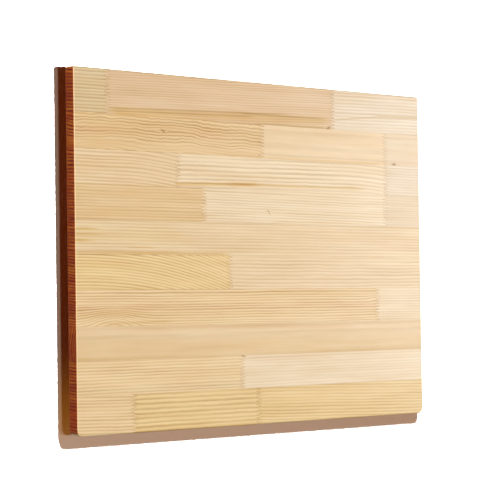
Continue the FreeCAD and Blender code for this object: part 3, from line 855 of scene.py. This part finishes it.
def long_grain(s, grain, marks, late, lines, shares):
    """The colour along the grain; shares pairs each band with how strongly it shows."""
    colour = s.tinted(s.mul(late, grain.late), grain.tone, LATE_WOOD)
    colour = s.washed(colour, marks.streak, STREAK_WASH)
    colour = s.washed(colour, marks.fibre, FIBRE_WASH)
    colour = s.washed(colour, marks.cloud, CLOUD_WASH, grain.cloudy)
    colour = s.washed(colour, marks.blot, BLOT_WASH)
    for band, share in shares:
        share = s.mul(share, s.span(lines, *BAND_LINES, 1.0 - band.lined, 1.0))
        colour = s.tinted(share, colour, tint_to(grain.tone, band.colour))
    return s.tinted(s.mul(marks.fleck, FLECK_SHARE), colour, FLECK_TINT)


def end_grain(s, place, marks, late):
    """The darker colour of the leaf's ends, where the rings are cut across."""
    early = s.mix(s.span(marks.blot, -END_PATCHES, END_PATCHES, 0.0, 1.0), END_LIGHT, END_WARM)
    colour = s.mix(s.mul(late, END_LINES), early, END_DARK)
    pores = s.step(s.noise(place, PORE), *PORE_EDGE)
    colour = s.tinted(s.mul(pores, PORE_SHARE), colour, PORE_TINT)
    return s.washed(colour, marks.cloud, END_WASH)


def with_knot(s, knot, along, depth, streak, colour):
    """The colour, with a knot's rim and heart in it."""
    a = s.sub(along, knot.along)
    d = s.sub(s.sub(depth, knot.depth), s.mul(a, knot.slant))
    a = s.div(a, KNOT_LENGTH * knot.radius)
    d = s.div(d, KNOT_HEIGHT * knot.radius)
    far = s.math("SQRT", s.add(s.mul(a, a), s.mul(d, d)))
    far = s.add(far, s.mul(streak, KNOT_RAGGED))
    colour = s.tinted(s.mul(s.step(far, *RIM_EDGE), RIM_SHARE), colour, KNOT_RIM)
    return s.mix(s.mul(s.step(far, *HEART_EDGE), HEART_SHARE), colour, KNOT_HEART)


def pine(name, grain, low, high):
    """The material of one stave, cut from a log as its grain says, between two corners."""
    s = new_material("pine_" + name)
    place = pine_place(s)
    along, behind, depth = s.split(place)
    marks = pine_marks(s, grain, place)
    lines = late_wood(s, grain, place, pine_rings(s, grain, place, low, high))
    shares = [(band, band_share(s, band, along, depth, marks)) for band in grain.bands]
    late = lines
    for band, share in shares:
        if band.calm:
            late = s.mul(late, s.sub(1.0, s.mul(share, band.calm)))

    facing = s.split(s.node("TexCoord").outputs["Normal"])
    turned = s.math("ABSOLUTE", facing[0])
    end = s.step(turned, *END_TURN)
    worn_highlight = s.mul(s.step(turned, *ROUND_BEGINS), s.step(turned, *ROUND_ENDS))
    top_shade = s.mul(s.step(facing[2], *TOP_SHADE_BEGINS), s.step(facing[2], *TOP_SHADE_ENDS))
    glue = glue_lines(s, place, low, high)

    colour = long_grain(s, grain, marks, late, lines, shares)
    # Painted highlight on the rounding towards the leaf's ends, partly also sanded wear.
    colour = s.mix(s.mul(worn_highlight, WORN_HIGHLIGHT_SHARE), colour, WORN_EDGE_HIGHLIGHT)
    # Painted shade: the edges' rounding that turns up is made darker and greyer.
    colour = s.tinted(top_shade, colour, PAINTED_TOP_SHADE)
    colour = s.mix(end, colour, end_grain(s, place, marks, late))
    for knot in grain.knots:
        colour = with_knot(s, knot, along, depth, marks.streak, colour)
    colour = s.tinted(s.mul(glue, GLUE_SHARE), colour, GLUE)

    height = s.add(s.mul(late, LATE_HEIGHT), s.mul(marks.fibre, FIBRE_HEIGHT))
    height = s.sub(height, s.mul(marks.fleck, FLECK_DEPTH))
    height = s.sub(height, s.mul(glue, GLUE_DEPTH))
    rough = s.span(s.add(marks.fibre, s.mul(marks.cloud, CLOUD_ROUGH)), *WOOD_ROUGH_FROM, *WOOD_ROUGH)
    return s.principled(
        Base_Color=colour,
        Roughness=s.add(rough, s.mul(end, END_ROUGHER)),
        IOR=WOOD_IOR,
        Coat_Weight=LACQUER,
        Coat_Roughness=LACQUER_ROUGH,
        Normal=s.bump(height, WOOD_RELIEF, WOOD_RELIEF_STRENGTH),
    )


def finish_node(name, material):
    """Gives a CAD node its material in place of the plain one it came with."""
    data = NODES[name].data
    data.materials.clear()
    data.materials.append(material)


def finish_leaf():
    for (row, stave), grain in STAVES.items():
        name = f"row_{row:02d}_stave_{stave}"
        grain.seed = SEED_ROW * row + SEED_STAVE * stave
        low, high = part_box(name)
        finish_node(name, pine(name, grain, low, high))


# ---------------------------------------------------------------- brackets

@dataclass
class Finish:
    """A metal or plastic finish.

    strokes is how fine its marks are along X, Y and Z, from rolling, drawing or turning.
    """

    tone: tuple
    worn: tuple
    # The tint of closed corners: painted shade and dirt where darker than the tone, dirt alone where
    # lighter.
    grime_and_shade: tuple
    metallic: float
    rough: tuple
    strokes: tuple
    relief: float = 0.00004
    spangle: float = 0.0
    coat: float = 0.0


FINISHES = {
    "bracket_steel": Finish(rgb(0.84, 0.79, 0.81), rgb(0.95, 0.93, 0.93), rgb(0.36, 0.31, 0.29),
                            1.0, (0.34, 0.50), (900.0, 60.0, 60.0), spangle=0.35),
    "pin_steel": Finish(rgb(0.74, 0.72, 0.72), rgb(0.86, 0.84, 0.82), rgb(0.24, 0.20, 0.18),
                        1.0, (0.20, 0.38), (500.0, 1800.0, 1800.0), 0.00003),
    "screw_steel": Finish(rgb(0.52, 0.50, 0.49), rgb(0.80, 0.78, 0.75), rgb(0.14, 0.12, 0.11),
                          1.0, (0.24, 0.42), (1500.0, 1500.0, 400.0), 0.00003),
    "spring_steel": Finish(rgb(0.42, 0.40, 0.39), rgb(0.70, 0.68, 0.66), rgb(0.12, 0.10, 0.09),
                           1.0, (0.22, 0.40), (700.0, 700.0, 700.0), 0.00002),
    "lever_steel": Finish(rgb(0.30, 0.29, 0.30), rgb(0.74, 0.72, 0.71), rgb(0.10, 0.09, 0.08),
                          1.0, (0.34, 0.52), (60.0, 900.0, 900.0)),
    "lever_sleeve": Finish(rgb(0.018, 0.017, 0.019), rgb(0.06, 0.058, 0.06), rgb(0.11, 0.10, 0.09),
                           0.0, (0.38, 0.58), (900.0, 900.0, 900.0), 0.00008, coat=0.1),
    "washer_nylon": Finish(rgb(0.78, 0.76, 0.70), rgb(0.86, 0.85, 0.80), rgb(0.40, 0.36, 0.30),
                           0.0, (0.30, 0.46), (700.0, 700.0, 700.0), 0.00005, coat=0.1),
}

PIECES = {
    "wall_arm": "bracket_steel",
    "leaf_arm": "bracket_steel",
    "strut": "bracket_steel",
    "hinge_pin": "pin_steel",
    "strut_pivot_rivets": "pin_steel",
    "strut_end_rivets": "pin_steel",
    "slide_pin": "pin_steel",
    "slide_collars": "pin_steel",
    "lever_pin": "pin_steel",
    "leaf_screws": "screw_steel",
    "lever_spring": "spring_steel",
    "release_lever": "lever_steel",
    "lever_sleeve": "lever_sleeve",
    "hinge_bushes": "washer_nylon",
    "strut_pivot_washers": "washer_nylon",
}

STROKE_DETAIL = 3.0
STROKE_ROUGHNESS = 0.6
MOTTLE = Texture(even(70.0), 4.0, 0.6)
BROAD = Texture(even(14.0))
FINE = Texture(even(1600.0))
MOTTLE_WASH = Wash(0.3, 0.8, rgb(0.84, 0.83, 0.86))
BROAD_WASH = Wash(0.3, 0.7, rgb(0.92, 0.88, 0.88))
STROKE_WASH = Wash(0.4, 0.6, rgb(0.82, 0.82, 0.82))

# Two ways that scratches run, each with where its noise makes one begin and be full.
SCRATCHES = (
    (Texture((90.0, 1900.0, 240.0), 1.0), 0.20, 0.27),
    (Texture((1500.0, 200.0, 70.0), 1.0), 0.22, 0.28),
)
SCRATCH_SHARE = 0.35
SCRATCH_DEPTH = 0.7

# Crystals of zinc on galvanised steel, so many to a metre.
SPANGLES = 260.0
SPANGLE_TINT = rgb(0.80, 0.79, 0.82)
SPANGLE_ROUGH = 0.06

# An edge is worn where its rounding turns the surface, and where a corner is closed it gets painted
# shade and dirt.
RAY_SAMPLES = 6
EDGE_RADIUS = 0.0005
EDGE_TURN = (0.985, 0.90)
EDGE_MOTTLE = 0.06
EDGE_SHARE = 0.7
GRIME_SHADE_REACH = 0.004
GRIME_SHADE_OPEN = (0.62, 0.18)
GRIME_SHADE_MOTTLE = 0.5
GRIME_SHADE_SHARE = 0.6
GRIME_ROUGH = 0.2

METAL_ROUGH_FROM = (-0.4, 0.4)
MOTTLE_ROUGH = 0.7
FINE_HEIGHT = 0.6
COAT_ROUGH = 0.3


def scratches(s, place):
    """1 in the scratches, 0 elsewhere."""
    lines = [s.step(s.noise(place, texture), low, high) for texture, low, high in SCRATCHES]
    return s.math("MAXIMUM", *lines)


def finished(name, finish):
    """A finish's material: its marks, scratches, worn edges, and painted shade and dirt in its corners.
    """
    s = new_material(name)
    place = s.node("TexCoord").outputs["Object"]
    strokes = s.noise(place, Texture(finish.strokes, STROKE_DETAIL, STROKE_ROUGHNESS))
    mottle = s.noise(place, MOTTLE)
    scratch = scratches(s, place)

    shape = s.node("NewGeometry").outputs["Normal"]
    eased = s.node("Bevel", {"Radius": EDGE_RADIUS}, samples=RAY_SAMPLES).outputs[0]
    turn = s.node("VectorMath", {0: shape, 1: eased}, operation="DOT_PRODUCT").outputs["Value"]
    edge = s.step(s.add(turn, s.mul(mottle, EDGE_MOTTLE)), *EDGE_TURN)
    # Painted shade and dirt: how closed the surface is, from ambient occlusion.
    open_air = s.node("AmbientOcclusion", {"Distance": GRIME_SHADE_REACH}, samples=RAY_SAMPLES).outputs["AO"]
    corner = s.step(s.add(open_air, s.mul(mottle, GRIME_SHADE_MOTTLE)), *GRIME_SHADE_OPEN)

    colour = s.washed(finish.tone, mottle, MOTTLE_WASH)
    colour = s.washed(colour, s.noise(place, BROAD), BROAD_WASH)
    colour = s.washed(colour, strokes, STROKE_WASH)
    rough = s.add(strokes, s.mul(mottle, MOTTLE_ROUGH))
    rough = s.span(rough, *METAL_ROUGH_FROM, *finish.rough)
    if finish.spangle:
        cells = s.node("TexVoronoi", {"Vector": place, "Scale": SPANGLES})
        flake = s.split(cells.outputs["Color"])[0]
        colour = s.tinted(s.mul(flake, finish.spangle), colour, SPANGLE_TINT)
        rough = s.add(rough, s.mul(flake, SPANGLE_ROUGH))
    colour = s.mix(s.mul(scratch, SCRATCH_SHARE), colour, finish.worn)
    colour = s.mix(s.mul(edge, EDGE_SHARE), colour, finish.worn)
    # Painted shade and dirt in the closed corners.
    colour = s.mix(s.mul(corner, GRIME_SHADE_SHARE), colour, finish.grime_and_shade)

    height = s.add(strokes, s.mul(s.noise(place, FINE), FINE_HEIGHT))
    height = s.sub(height, s.mul(scratch, SCRATCH_DEPTH))
    bumps = s.node("Bump", {"Height": height, "Distance": finish.relief, "Normal": eased})
    return s.principled(
        Base_Color=colour,
        Metallic=finish.metallic,
        Roughness=s.add(rough, s.mul(corner, GRIME_ROUGH)),
        Coat_Weight=finish.coat,
        Coat_Roughness=COAT_ROUGH,
        Normal=bumps.outputs[0],
    )


def finish_brackets():
    materials = {name: finished(name, finish) for name, finish in FINISHES.items()}
    for side in ("left", "right"):
        for piece, slot in PIECES.items():
            name = side + "_" + piece
            finish_node(name, materials[slot])


# ---------------------------------------------------------------- the whole scene

make_camera()
make_world()
stage = make_stage()
for lamp in LAMPS:
    make_lamp(lamp, stage)
finish_leaf()
finish_brackets()

bpy.context.scene.view_settings.view_transform = "Standard"
